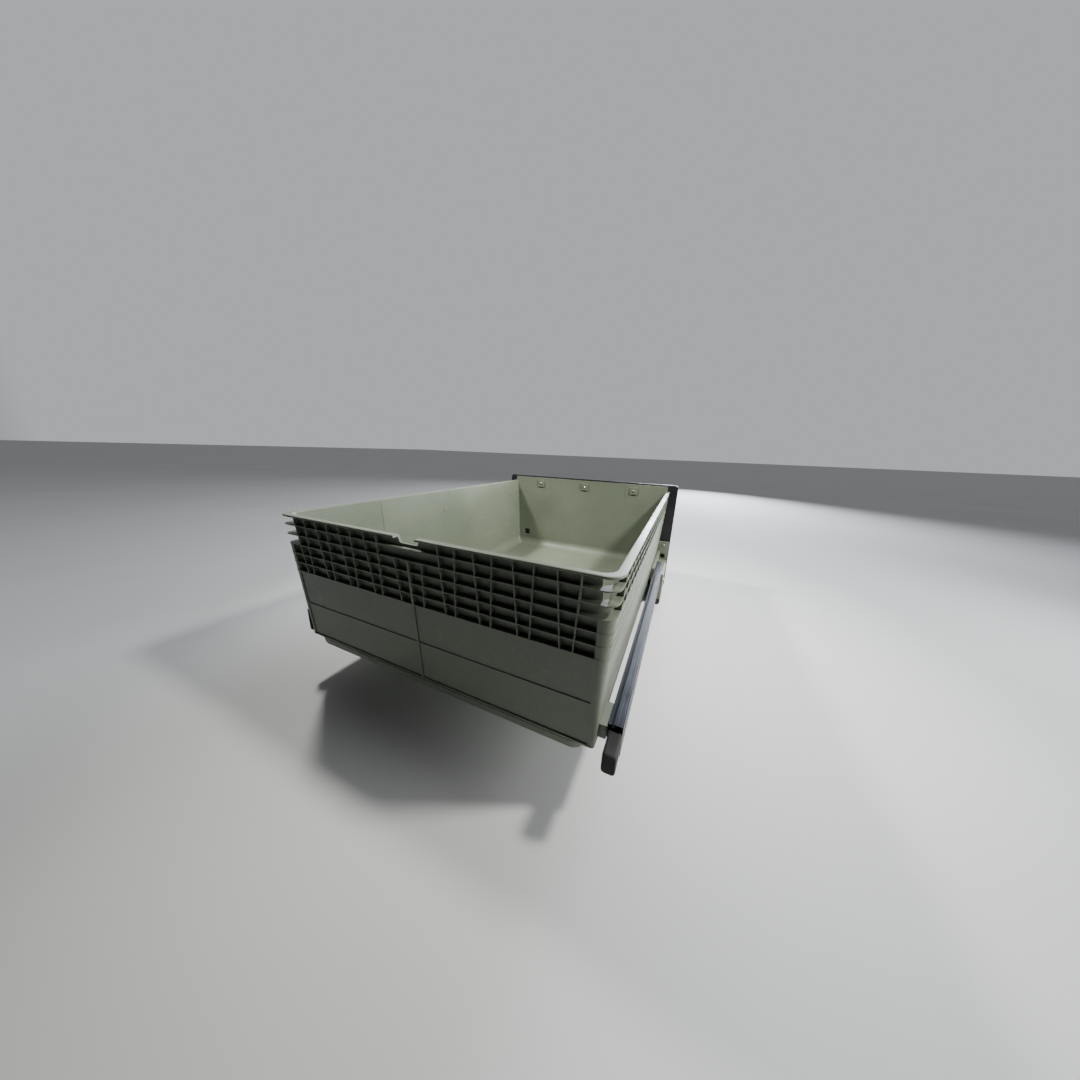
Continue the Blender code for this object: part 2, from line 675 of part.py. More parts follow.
def make_rear_stop(name, side, finish, parent):
    """Rubber stop on the rear end of the cabinet member, rounded behind."""
    outer = side * SLIDE_OUTER_X
    inner = side * (SLIDE_OUTER_X - STOP_WIDTH)
    low = (min(outer, inner), SLIDE_Z - STOP_HEIGHT / 2)
    high = (max(outer, inner), SLIDE_Z + STOP_HEIGHT / 2)
    front = SLIDE_REAR_Y + SEAM
    rear = TUB_REAR_Y + STOP_OVERHANG
    rings = []
    for step in range(CORNER_STEPS + 1):
        angle = math.pi / 2 * step / CORNER_STEPS
        inset = STOP_INSET * (1 - math.cos(angle))
        y = rear - STOP_RADIUS * (1 - math.sin(angle))
        corner = (low[0] + inset, low[1] + inset), (high[0] - inset, high[1] - inset)
        rings.append([(x, y, z) for x, z in rounded_outline(*corner, (STOP_RADIUS,) * 4, 2)])
    rings.insert(0, [(x, front, z) for x, _, z in rings[0]])
    origin = (outer, front, SLIDE_Z)
    add_object(f"rear_stop_{name}", loft(rings), finish, origin, parent, smooth=True)


def plate_screw_heights():
    return (DETENT_Z - PLATE_SCREW_BELOW_DETENT, PLATE_TOP - PLATE_SCREW_BELOW_TOP)


def plate_screw_hole(side, z):
    x = side * (BRACKET_OUTER_X - BRACKET_WIDTH / 2)
    return hole((x, PLATE_REAR_Y + SEAM, z), (0, -1, 0), PLATE_SCREW_LENGTH + SEAM)


def bracket_box(side, low_x, high_x, low, high):
    """A box given by its distances outwards from the middle of the drawer, and its Y and Z."""
    return box((side * low_x, low[0], low[1]), (side * high_x, high[0], high[1]))


def make_bracket(name, side, olive, zinc, parent):
    foot_top = FOOT_HEIGHT + SEAM
    inner = BRACKET_INNER_X
    outer = BRACKET_OUTER_X
    block = bracket_box(side, inner, outer, (PLATE_FRONT_Y, foot_top), (BRACKET_REAR_Y, BRACKET_TOP))
    origin = (side * outer, BRACKET_REAR_Y, foot_top)
    bracket = add_object(f"front_bracket_{name}", block, olive, origin, parent)
    join(bracket, bracket_box(side, inner, outer, (PLATE_FRONT_Y, foot_top), (PLATE_REAR_Y, PLATE_TOP)))
    lug_low = (PLATE_FRONT_Y + PLATE_THICKNESS / 2, BRACKET_TOP - BRACKET_SKIN)
    lug_high = (BRACKET_REAR_Y + LUG_WALL_REACH, SLIDE_Z + LUG_WALL_RISE)
    join(bracket, bracket_box(side, inner, SLIDE_INNER_X - SEAM, lug_low, lug_high))
    cut(bracket, *bracket_cutters(side))
    cut(bracket, plate_screw_hole(side, plate_screw_heights()[0]))
    cut(bracket, detent_slot(side))
    for place, z in zip(("lower", "upper"), plate_screw_heights()):
        seat = (side * (outer - BRACKET_WIDTH / 2), PLATE_REAR_Y + SEAM, z)
        screw = f"bracket_screw_{place}_{name}"
        make_screw(screw, seat, (0, -1, 0), PLATE_SCREW_LENGTH, zinc, parent)


def bracket_cutters(side):
    """Pockets, bore, eye and holes of a front bracket. None of them meets another."""
    inner = BRACKET_INNER_X
    outer = BRACKET_OUTER_X
    front = PLATE_REAR_Y
    rear = BRACKET_REAR_Y - BRACKET_HEAD
    pitch = (rear - front + BRACKET_SKIN) / BRACKET_POCKETS
    low = FOOT_HEIGHT + SEAM + BRACKET_SKIN
    high = BRACKET_TOP - BRACKET_SKIN
    cutters = []
    for k in range(BRACKET_POCKETS):
        start = front + k * pitch
        end = start + pitch - BRACKET_SKIN
        pocket = bracket_box(side, inner - WALL, outer - BRACKET_SKIN, (start, low), (end, high))
        cutters.append(pocket)
    bore = ((-WALL, DETENT_BORE_RADIUS), (DETENT_BORE_DEPTH, DETENT_BORE_RADIUS))
    cutters.append(turned(bore, (side * outer, DETENT_Y, DETENT_Z), (-side, 0, 0), 12))
    eye = ((-WALL, PLATE_HOLE_RADIUS), (PLATE_THICKNESS + WALL, PLATE_HOLE_RADIUS))
    eye_z = BRACKET_TOP + PLATE_HOLE_RADIUS + BRACKET_SKIN
    cutters.append(turned(eye, (side * (outer - BRACKET_WIDTH / 2), front, eye_z), (0, -1, 0), 16))
    cutters.append(plate_screw_hole(side, plate_screw_heights()[1]))
    cutters += [member_hole(side, y) for y in member_screw_positions()]
    return cutters


def detent_slot(side):
    """Cutter for the slot in the bracket's rear face through which the plunger shows."""
    outer = BRACKET_OUTER_X
    low = (DETENT_Y + DETENT_BORE_RADIUS / 2, DETENT_Z - DETENT_SLOT_HEIGHT / 2)
    high = (BRACKET_REAR_Y + WALL, DETENT_Z + DETENT_SLOT_HEIGHT / 2)
    return bracket_box(side, outer - DETENT_SLOT_END, outer - DETENT_SLOT_START, low, high)


def make_foot(name, side, finish, parent):
    inner = BRACKET_INNER_X
    outline = [(side * inner, 0), (side * inner, FOOT_HEIGHT), (side * BRACKET_OUTER_X, FOOT_HEIGHT)]
    for step in range(CORNER_STEPS + 1):
        angle = math.pi / 2 * step / CORNER_STEPS
        x = BRACKET_OUTER_X - FOOT_RADIUS * (1 - math.cos(angle))
        outline.append((side * x, FOOT_RADIUS * (1 - math.sin(angle))))
    shape = prism_along_y(outline, PLATE_FRONT_Y, BRACKET_REAR_Y)
    add_object(f"bracket_foot_{name}", shape, finish, (side * inner, PLATE_FRONT_Y, 0), parent)


def make_detent(name, side, zinc, parent, mover):
    """Plunger that presses on the vehicle's frame, its spring and the ring that keeps it in."""
    mouth = (side * BRACKET_OUTER_X, DETENT_Y, DETENT_Z)
    axis = (-side, 0, 0)
    body_radius = DETENT_BORE_RADIUS - RUN_GAP
    shoulder = RETAINER_LENGTH + 2 * RUN_GAP
    head_end = shoulder + PLUNGER_HEAD
    tip = PLUNGER_TIP_RADIUS
    profile = dome(tip - PLUNGER_PROUD, tip, tip)
    profile += [(shoulder, tip), (shoulder, body_radius), (head_end, body_radius)]
    plunger = turned(profile, mouth, axis, 12)
    add_object(f"detent_plunger_{name}", plunger, zinc, mouth, mover, smooth=True)
    ring_outer = DETENT_BORE_RADIUS - SEAM
    ring = turned(((RUN_GAP, ring_outer), (RUN_GAP + RETAINER_LENGTH, ring_outer)), mouth, axis, 12)
    retainer = add_object(f"detent_retainer_{name}", ring, zinc, mouth, parent)
    bore = PLUNGER_TIP_RADIUS + RUN_GAP
    cut(retainer, turned(((-WALL, bore), (RETAINER_LENGTH + WALL, bore)), mouth, axis, 12))
    start = head_end + SPRING_WIRE / 2 + RUN_GAP
    end = DETENT_BORE_DEPTH - SPRING_WIRE / 2 - RUN_GAP
    radius = DETENT_BORE_RADIUS - SPRING_WIRE - RUN_GAP
    shape = coil(mouth, axis, start, end, radius, SPRING_TURNS)
    add_object(f"detent_spring_{name}", shape, zinc, mouth, parent, smooth=True)


def coil(centre, axis, start, end, radius, turns):
    """A round wire wound about an axis, with flat ends."""
    along = Vector(axis)
    across = along.orthogonal().normalized()
    other = along.cross(across)
    steps = 10 * turns
    wire_sides = 6
    rings = []
    for k in range(steps + 1):
        share = k / steps
        angle = math.tau * turns * share
        outward_way = across * math.cos(angle) + other * math.sin(angle)
        middle = Vector(centre) + along * (start + (end - start) * share) + outward_way * radius
        ring = []
        for j in range(wire_sides):
            spin = math.tau * j / wire_sides
            offset = outward_way * math.cos(spin) + along * math.sin(spin)
            ring.append(middle + offset * SPRING_WIRE / 2)
        rings.append(ring)
    return loft(rings)


def make_latch_case(finish, parent):
    half = CASE_WIDTH / 2
    low = LATCH_Z - CASE_HEIGHT / 2
    high = LATCH_Z + CASE_HEIGHT / 2
    rear = PANEL_FRONT_Y + CASE_DEPTH
    flange = box(
        (-FLANGE_WIDTH / 2, PANEL_FRONT_Y - FLANGE_PROUD, LATCH_Z - FLANGE_HEIGHT / 2),
        (FLANGE_WIDTH / 2, PANEL_FRONT_Y - SEAM, LATCH_Z + FLANGE_HEIGHT / 2),
    )
    case = add_object("latch_case", flange, finish, (0, PANEL_FRONT_Y, LATCH_Z), parent)
    join(case, box((-half, PANEL_FRONT_Y - FLANGE_PROUD / 2, low), (half, rear, high)))
    inside = box(
        (-half + CASE_WALL, PANEL_FRONT_Y - SEAM, low + CASE_WALL),
        (half - CASE_WALL, rear - CASE_WALL, high - CASE_WALL),
    )
    cut(case, inside)
    mouth = box(
        (-half + CASE_WALL, PANEL_FRONT_Y - 2 * FLANGE_PROUD, low + CASE_WALL),
        (half - CASE_WALL, PANEL_FRONT_Y, high - HOOD_HEIGHT),
    )
    arm_top = PIVOT_Z + ARM_HEIGHT / 2 + 2 * SEAM
    slot = box(
        (-ARM_WIDTH / 2 - 3 * SEAM, rear - 2 * CASE_WALL, arm_top - ARM_HEIGHT - ARM_SWING),
        (ARM_WIDTH / 2 + 3 * SEAM, rear + CASE_WALL, arm_top),
    )
    pin_hole = ((-half - CASE_WALL, PIN_RADIUS + RUN_GAP), (half + CASE_WALL, PIN_RADIUS + RUN_GAP))
    cut(case, mouth, slot)
    cut(case, turned(pin_hole, (0, PIVOT_Y, PIVOT_Z), (1, 0, 0)))


def make_latch_lever(finish, parent):
    axis_point = (0, PIVOT_Y, PIVOT_Z)
    barrel = turned(
        ((-BARREL_HALF_LENGTH, BARREL_RADIUS), (BARREL_HALF_LENGTH, BARREL_RADIUS)),
        axis_point,
        (1, 0, 0),
        16,
    )
    lever = add_object("latch_lever", barrel, finish, axis_point, parent)
    plate_front = PIVOT_Y - SEAM
    plate_rear = plate_front + PADDLE_THICKNESS
    plate_top = PIVOT_Z - HOOD_HEIGHT / 2 - SEAM
    plate = box(
        (-PADDLE_WIDTH / 2, plate_front, PIVOT_Z - PADDLE_DROP),
        (PADDLE_WIDTH / 2, plate_rear, plate_top),
    )
    neck = box(
        (-BARREL_HALF_LENGTH, plate_front, plate_top - SEAM),
        (BARREL_HALF_LENGTH, plate_rear, PIVOT_Z - PIN_RADIUS - SEAM),
    )
    join(lever, plate)
    join(lever, neck)
    arm_end = PIVOT_Y + ARM_REACH
    half = ARM_WIDTH / 2
    arm = box((-half, PIVOT_Y, PIVOT_Z - ARM_HEIGHT / 2), (half, arm_end, PIVOT_Z + ARM_HEIGHT / 2))
    hook = box(
        (-half + SEAM, arm_end - HOOK_LENGTH, PIVOT_Z),
        (half - SEAM, arm_end - SEAM, PIVOT_Z + HOOK_HEIGHT),
    )
    join(lever, arm)
    join(lever, hook)
    bore = ((-RIM_WIDTH / 4, PIN_RADIUS + RUN_GAP), (RIM_WIDTH / 4, PIN_RADIUS + RUN_GAP))
    cut(lever, turned(bore, axis_point, (1, 0, 0)))


def make_latch_pin_and_spring(zinc, parent):
    centre = (0, PIVOT_Y, PIVOT_Z)
    half = CASE_WIDTH / 2 - SEAM
    pin = turned(((-half, PIN_RADIUS), (half, PIN_RADIUS)), centre, (1, 0, 0))
    add_object("latch_pin", pin, zinc, centre, parent, smooth=True)
    start = BARREL_HALF_LENGTH + SPRING_WIRE
    end = CASE_WIDTH / 2 - CASE_WALL - SPRING_WIRE
    radius = PIN_RADIUS + SPRING_WIRE / 2 + 2 * RUN_GAP
    shape = coil(centre, (1, 0, 0), start, end, radius, LATCH_SPRING_TURNS)
    add_object("latch_spring", shape, zinc, centre, parent, smooth=True)


def make_slides(finishes, drawer, vehicle, bodies):
    steel, zinc, rubber, cage_steel = finishes
    for name, side in SIDES:
        make_cabinet_member(name, side, steel, vehicle)
        make_middle_member(name, side, steel, bodies["middle"])
        make_drawer_member(name, side, steel, zinc, drawer)
        outer_row = (OUTER_CAGE_WEB, OUTER_BALL_Z, OUTER_BALL)
        inner_row = (INNER_CAGE_WEB, INNER_BALL_Z, INNER_BALL)
        make_cage("outer_ball_cage", name, side, outer_row, cage_steel, bodies["outer"])
        make_cage("inner_ball_cage", name, side, inner_row, cage_steel, bodies["inner"])
    make_rear_stop(*STOP_SIDE, rubber, vehicle)


def build():
    clear_scene()
    olive = material("olive_plastic", (0.155, 0.185, 0.125), 0.55)
    black = material("black_plastic", (0.012, 0.012, 0.013), 0.42)
    rubber = material("black_rubber", (0.016, 0.016, 0.017), 0.8)
    steel = material("slide_steel", (0.10, 0.11, 0.14), 0.38, 0.9)
    zinc = material("bright_zinc", (0.62, 0.64, 0.66), 0.3, 1.0)
    cage_steel = material("cage_steel", (0.35, 0.34, 0.31), 0.45, 0.8)

    vehicle = body_empty("vehicle_rails", (0, 0, SLIDE_Z))
    drawer = body_empty("drawer", (0, 0, SLIDE_Z))
    runners = ("middle", "outer", "inner")
    bodies = {key: body_empty(f"{key}_runners", (0, 0, SLIDE_Z)) for key in runners}

    make_tub(olive, drawer)
    make_panel(black, drawer)
    make_washers(olive, zinc, drawer)
    make_slides((steel, zinc, rubber, cage_steel), drawer, vehicle, bodies)
    for name, side in SIDES:
        make_bracket(name, side, olive, zinc, drawer)
        make_foot(name, side, rubber, drawer)
        plunger = body_empty(f"detent_{name}", (side * BRACKET_OUTER_X, DETENT_Y, DETENT_Z))
        make_detent(name, side, zinc, drawer, plunger)
    make_latch_case(black, drawer)
    pivot = body_empty("latch_pivot", (0, PIVOT_Y, PIVOT_Z))
    make_latch_lever(black, pivot)
    make_latch_pin_and_spring(zinc, drawer)


build()
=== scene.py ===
"""Looks of the pull-out storage drawer: its fine surface, materials, light and camera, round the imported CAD.

Metres, +Z up, in the CAD's frame. The front panel faces -Y. Depths are measured down from the rim.
"""

import json
import math

import bmesh
import bpy
from mathutils import Matrix, Vector


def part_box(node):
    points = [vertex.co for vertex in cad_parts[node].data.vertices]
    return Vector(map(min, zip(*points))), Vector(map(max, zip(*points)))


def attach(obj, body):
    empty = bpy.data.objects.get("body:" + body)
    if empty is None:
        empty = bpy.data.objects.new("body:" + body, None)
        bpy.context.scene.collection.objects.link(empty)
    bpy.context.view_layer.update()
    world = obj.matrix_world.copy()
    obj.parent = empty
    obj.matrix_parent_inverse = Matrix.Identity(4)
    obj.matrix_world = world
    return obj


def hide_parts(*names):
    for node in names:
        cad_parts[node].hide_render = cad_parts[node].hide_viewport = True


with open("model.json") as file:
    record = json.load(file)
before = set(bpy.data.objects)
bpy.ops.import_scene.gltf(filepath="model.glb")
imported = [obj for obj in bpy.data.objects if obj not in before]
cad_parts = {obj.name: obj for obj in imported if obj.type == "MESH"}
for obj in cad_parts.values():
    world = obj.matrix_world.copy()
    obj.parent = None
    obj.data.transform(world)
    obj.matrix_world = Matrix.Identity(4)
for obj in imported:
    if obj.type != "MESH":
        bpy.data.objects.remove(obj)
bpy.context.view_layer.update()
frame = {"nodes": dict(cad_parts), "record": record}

# Tub
FRONT_RISE = 0.0157  # the front wall stands this far above the rim
FRONT_WALL = 0.005
FRONT_DRAFT = math.radians(1.0)
DRAFT = math.radians(3.3)
WALL = 0.0030
TIP_INSET = 0.0008  # rib tips from the rim's outer edge, at the rim
RECESS = 0.0070  # wall behind the rib tips, in the lattice
PANEL_RECESS = 0.0018  # and under it
RIB = 0.0016
LATTICE_DEPTH = 0.0985
LATTICE_ROWS = 6
CENTRE_RIB = 0.0034  # the thicker upright rib under the notch
RIB_BACK = 0.0002  # upright ribs from the rows' edge
MIDDLE_RIB_DEPTH = 0.161
MIDDLE_RIB_HALF = RIB * 0.7
MIDDLE_RIB_BACK = 0.0006
LEDGE_DEPTH = 0.2225
LEDGE_THICKNESS = 0.007
LEDGE_ROUNDING = 0.006
LEDGE_BACK = 0.0008
SKIRT_SIDE_INSET = 0.0125
SKIRT_REAR_INSET = 0.0020
SKIRT_RADIUS = 0.009
TIP_RADIUS = 0.018
WALL_RADIUS = 0.032
SIDE_ROWS = 3  # the sides carry only the upper rows
SIDE_LATTICE_DEPTH = LATTICE_DEPTH * SIDE_ROWS / LATTICE_ROWS
SIDE_BACK = 0.001  # side walls under the lattice, behind the rib tips
OVERLAP = 0.001  # pieces that join run into each other by this much
FLOOR_RADIUS = 0.026
RIM_THICKNESS = 0.0034
RIM_ROUNDING = 0.0016
RIM_STEPS = 4
RIM_RADIUS = TIP_RADIUS + 0.001
RIM_UNDERCUT = 0.0010
RIM_UNDERCUT_DEPTH = 0.0008
MOUTH_ROUNDING = 0.002  # the inner edge of the rim opens out by this much
MOUTH_MIDDLE = 0.0006
CUTTER_RISE = 0.03  # the cutter of the cavity goes on above the rim
CAVITY_RADIUS = 0.016
CAVITY_RADIUS_GROWTH = 0.02  # more radius for each metre down
CAVITY_FRONT_RADIUS = 0.006
FRONT_CORNER_STEPS = 4
COLUMN_REACH = 0.004
COLUMN_BACK = 0.0005
LUG_HALF_LENGTH = 0.020
LUG_HALF_HEIGHT = 0.010
LUG_GAP = 0.0003
RIB_PITCH = 0.0266
RIBS_EACH_SIDE = 9
LEAN_OUT = 0.005  # even ribs lean outward and odd ones inward on the way down
LEAN_IN = 0.006
PLATE_HALF = 0.0262  # smooth plate under the notch
PLATE_BACK = 0.0006
NOTCH_TOP_WIDTH = 0.0385
NOTCH_BOTTOM_WIDTH = 0.0330
NOTCH_DEPTH = 0.0115
ARC_STEPS = 8
SMALLEST_RADIUS = 0.003
GROOVE_X = (-0.140, 0.1316)
GROOVE_HALF = 0.0005
GROOVE_DEEP = 0.0008
GROOVE_TOP = 0.010
GROOVE_BOTTOM = -0.030
SEAM_Y = 0.2208
SEAM_DEPTHS = (0.170, 0.004)
SEAM_PROUD = 0.0004
SEAM_TIP_HALF = 0.0006
SEAM_ROOT = 0.001
BOSS_Y = 0.0259
BOSS_DEPTH = 0.0526
BOSS_PROFILE = ((-0.001, 0.0030), (0.0010, 0.0030), (0.0018, 0.0018))
VENT_FROM_SIDE = 0.058
VENT_RISE = 0.0494  # middle of the window in the front wall, above the tub's underside
VENT_HALF = 0.011
SIDE_HOLE_RADIUS = 0.003
SIDE_HOLE_INSET = 0.016
SIDE_HOLE_Y = -0.3246
SIDE_HOLE_DEPTH = 0.050
WASHER_HOLE_RADIUS = 0.0024
HOLE_REACH = 0.02
HOLE_SIDES = 16
NOTCH_CORNER = 0.003
NOTCH_STEPS = 4

tub_low, tub_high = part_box("tub")
HALF = tub_high.x
FRONT_Y = tub_low.y
REAR_Y = tub_high.y
RIM_Z = tub_high.z - FRONT_RISE
BOTTOM = RIM_Z - tub_low.z


# --- mesh helpers -------------------------------------------------------------------------------------------

def loft(rings):
    """A skin round closed rings with the same number of points, with both ends filled."""
    shape = bmesh.new()
    made = [[shape.verts.new(point) for point in points] for points in rings]
    count = len(rings[0])
    for lower, upper in zip(made, made[1:]):
        for k in range(count):
            after = (k + 1) % count
            shape.faces.new((lower[k], lower[after], upper[after], upper[k]))
    shape.faces.new(made[0])
    shape.faces.new(made[-1])
    return outward(shape)


def outward(shape):
    shape.normal_update()
    bmesh.ops.recalc_face_normals(shape, faces=shape.faces)
    return shape


def box(low, high):
    shape = bmesh.new()
    for corner in bmesh.ops.create_cube(shape, size=1.0)["verts"]:
        for axis in range(3):
            corner.co[axis] = high[axis] if corner.co[axis] > 0 else low[axis]
    return outward(shape)


def turned(profile, centre, axis, sides=24):
    """A round piece from (distance along the axis, radius) pairs."""
    along = Vector(axis).normalized()
    across = along.orthogonal().normalized()
    other = along.cross(across)
    rings = []
    for distance, radius in profile:
        middle = Vector(centre) + along * distance
        turns = [math.tau * k / sides for k in range(sides)]
        rings.append([middle + radius * (across * math.cos(a) + other * math.sin(a)) for a in turns])
    return loft(rings)


def arc(centre, radius, start, end, steps):
    """Points on an arc in a plane, angles in degrees."""
    angles = [math.radians(start + (end - start) * k / steps) for k in range(steps + 1)]
    return [(centre[0] + radius * math.cos(a), centre[1] + radius * math.sin(a)) for a in angles]


def merged(shapes):
    whole = bmesh.new()
    for shape in shapes:
        part = bpy.data.meshes.new("part")
        shape.to_mesh(part)
        whole.from_mesh(part)
        bpy.data.meshes.remove(part)
        shape.free()
    return whole


def add_object(name, shape, finish=None, sharp=30):
    mesh = bpy.data.meshes.new(name)
    shape.to_mesh(mesh)
    shape.free()
    mesh.shade_smooth()
    mesh.set_sharp_from_angle(angle=math.radians(sharp))
    made = bpy.data.objects.new(name, mesh)
    bpy.context.scene.collection.objects.link(made)
    if finish:
        mesh.materials.append(finish)
    return made


def combine(target, shape, operation):
    """Joins a shape on to the target or cuts it away, at once."""
    helper = add_object("helper", shape)
    modifier = target.modifiers.new("combine", "BOOLEAN")
    modifier.object = helper
    modifier.operation = operation
    modifier.solver = "EXACT"
    settle(target)
    bpy.data.objects.remove(helper, do_unlink=True)


def settle(target):
    """Makes the mesh what its modifiers show."""
    graph = bpy.context.evaluated_depsgraph_get()
    mesh = bpy.data.meshes.new_from_object(target.evaluated_get(graph))
    target.modifiers.clear()
    target.data = mesh


def soften(target, width, segments=2, angle=30, weld=False):
    """Rounds the edges, as a moulded or rolled piece has them."""
    if weld:
        join = target.modifiers.new("join", "WELD")
        join.merge_threshold = 0.00001
        flat = target.modifiers.new("flat", "DECIMATE")
        flat.decimate_type = "DISSOLVE"
        flat.angle_limit = math.radians(1)
    edges = target.modifiers.new("edges", "BEVEL")
    edges.width = width
    edges.segments = segments
    edges.limit_method = "ANGLE"
    edges.angle_limit = math.radians(angle)
    edges.harden_normals = True


# --- materials ----------------------------------------------------------------------------------------------

def new_material(name, roughness, metallic):
    made = bpy.data.materials.new(name)
    made.use_nodes = True
    tree = made.node_tree
    shader = tree.nodes["Principled BSDF"]
    shader.inputs["Roughness"].default_value = roughness
    shader.inputs["Metallic"].default_value = metallic
    place = tree.nodes.new("ShaderNodeTexCoord")
    return made, tree, shader, place.outputs["Object"]


def stretched(tree, place, scale):
    """Coordinates with each axis scaled, for streaks along one of them."""
    mapping = tree.nodes.new("ShaderNodeMapping")
    mapping.inputs["Scale"].default_value = scale
    tree.links.new(place, mapping.inputs["Vector"])
    return mapping.outputs["Vector"]


def noise(tree, place, scale, detail=4.0, rough=0.55):
    node = tree.nodes.new("ShaderNodeTexNoise")
    node.inputs["Scale"].default_value = scale
    node.inputs["Detail"].default_value = detail
    node.inputs["Roughness"].default_value = rough
    tree.links.new(place, node.inputs["Vector"])
    return node.outputs["Fac"]


def ramp(tree, value, stops):
    """A colour ramp from (place, colour) pairs."""
    node = tree.nodes.new("ShaderNodeValToRGB")
    marks = node.color_ramp.elements
    while len(marks) < len(stops):
        marks.new(0.5)
    for mark, (place, colour) in zip(marks, stops):
        mark.position = place
        mark.color = (*colour, 1.0)
    tree.links.new(value, node.inputs["Fac"])
    return node.outputs["Color"]


def remap(tree, value, low, high, start=0.3, end=0.7):
    node = tree.nodes.new("ShaderNodeMapRange")
    node.inputs["From Min"].default_value = start
    node.inputs["From Max"].default_value = end
    node.inputs["To Min"].default_value = low
    node.inputs["To Max"].default_value = high
    tree.links.new(value, node.inputs["Value"])
    return node.outputs["Result"]


def mixed(tree, amount, first, second):
    node = tree.nodes.new("ShaderNodeMix")
    node.data_type = "RGBA"
    tree.links.new(amount, node.inputs["Factor"])
    for socket, value in ((node.inputs["A"], first), (node.inputs["B"], second)):
        if isinstance(value, tuple):
            socket.default_value = (*value, 1.0)
        else:
            tree.links.new(value, socket)
    return node.outputs["Result"]


def bump(tree, shader, height, strength, distance):
    node = tree.nodes.new("ShaderNodeBump")
    node.inputs["Strength"].default_value = strength
    node.inputs["Distance"].default_value = distance
    tree.links.new(height, node.inputs["Height"])
    tree.links.new(node.outputs["Normal"], shader.inputs["Normal"])


def moulded(name, dark, light, dust, roughness, grain, streak_amount=0.35):
    """Injection-moulded plastic: cloudy tone, fine grain, dust and a few lighter streaks that run along Y."""
    made, tree, shader, place = new_material(name, roughness, 0.0)
    cloud = noise(tree, place, 6.0)
    tone = ramp(tree, cloud, ((0.30, dark), (0.70, light)))
    speck = remap(tree, noise(tree, place, 260.0, 2.0), 0.0, 0.30, 0.56, 0.74)
    dusted = mixed(tree, speck, tone, dust)
    # lighter streaks, long along Y and laid at random over the surface
    streak_place = stretched(tree, place, (90.0, 9.0, 30.0))
    streak = remap(tree, noise(tree, streak_place, 1.0, 6.0, 0.7), 0.0, streak_amount, 0.60, 0.82)
    streaked = mixed(tree, streak, dusted, tuple(min(1.0, c * 1.9) for c in light))
    tree.links.new(streaked, shader.inputs["Base Color"])
    tree.links.new(remap(tree, cloud, roughness - 0.08, roughness + 0.10), shader.inputs["Roughness"])
    bump(tree, shader, noise(tree, place, 1400.0, 2.0), grain, 0.0002)
    return made


def rolled_steel(name, dark, light, wear, roughness, metallic):
    """Coated steel strip, worn along its length."""
    made, tree, shader, place = new_material(name, roughness, metallic)
    lengthwise = stretched(tree, place, (420.0, 7.0, 420.0))
    streak = noise(tree, lengthwise, 1.0, 5.0, 0.65)
    patch = noise(tree, place, 24.0, 6.0, 0.7)
    tone = ramp(tree, patch, ((0.32, dark), (0.68, light)))
    worn = mixed(tree, remap(tree, streak, 0.0, 0.75, 0.52, 0.80), tone, wear)
    tree.links.new(worn, shader.inputs["Base Color"])
    tree.links.new(remap(tree, patch, roughness - 0.12, roughness + 0.15), shader.inputs["Roughness"])
    bump(tree, shader, streak, 0.25, 0.0001)
    return made


def plated(name, dark, light, roughness):
    """Bright zinc plating with a faint cloud."""
    made, tree, shader, place = new_material(name, roughness, 1.0)
    cloud = noise(tree, place, 180.0, 4.0)
    tree.links.new(ramp(tree, cloud, ((0.3, dark), (0.7, light))), shader.inputs["Base Color"])
    tree.links.new(remap(tree, cloud, roughness - 0.08, roughness + 0.12), shader.inputs["Roughness"])
    bump(tree, shader, noise(tree, place, 900.0), 0.12, 0.0001)
    return made


def dull_rubber(name, dark, light):
    made, tree, shader, place = new_material(name, 0.8, 0.0)
    cloud = noise(tree, place, 60.0, 6.0, 0.7)
    tree.links.new(ramp(tree, cloud, ((0.3, dark), (0.75, light))), shader.inputs["Base Color"])
    tree.links.new(remap(tree, cloud, 0.68, 0.92), shader.inputs["Roughness"])
    bump(tree, shader, noise(tree, place, 1100.0), 0.5, 0.0002)
    return made


def floor_material():
    made, tree, shader, place = new_material("pale_floor", 0.9, 0.0)
    cloud = noise(tree, place, 1.5)
    tree.links.new(ramp(tree, cloud, ((0.3, (0.66, 0.66, 0.65)), (0.7, (0.70, 0.70, 0.69)))),
                   shader.inputs["Base Color"])
    return made


OLIVE = moulded("olive_plastic_look", dark=(0.122, 0.142, 0.102), light=(0.160, 0.182, 0.134),
                dust=(0.23, 0.24, 0.20), roughness=0.46, grain=0.35)
BLACK = moulded("black_plastic_look", dark=(0.004, 0.004, 0.0045), light=(0.008, 0.008, 0.009),
                dust=(0.03, 0.03, 0.03), roughness=0.48, grain=0.35, streak_amount=0.1)
RUBBER = dull_rubber("black_rubber_look", (0.010, 0.010, 0.010), (0.030, 0.029, 0.028))
STEEL = rolled_steel("slide_steel_look", dark=(0.010, 0.012, 0.020), light=(0.030, 0.034, 0.048),
                     wear=(0.16, 0.17, 0.21), roughness=0.42, metallic=0.6)
ZINC = plated("bright_zinc_look", (0.46, 0.47, 0.48), (0.74, 0.75, 0.76), 0.28)
CAGE = plated("cage_steel_look", (0.22, 0.21, 0.19), (0.46, 0.44, 0.40), 0.40)
LOOKS = {
    "olive_plastic": OLIVE,
    "black_plastic": BLACK,
    "black_rubber": RUBBER,
    "slide_steel": STEEL,
    "bright_zinc": ZINC,
    "cage_steel": CAGE,
}


# --- tub ----------------------------------------------------------------------------------------------------

def tip_inset(depth):
    return TIP_INSET + depth * math.tan(DRAFT)


def wall_inset(depth):
    return tip_inset(depth) + RECESS


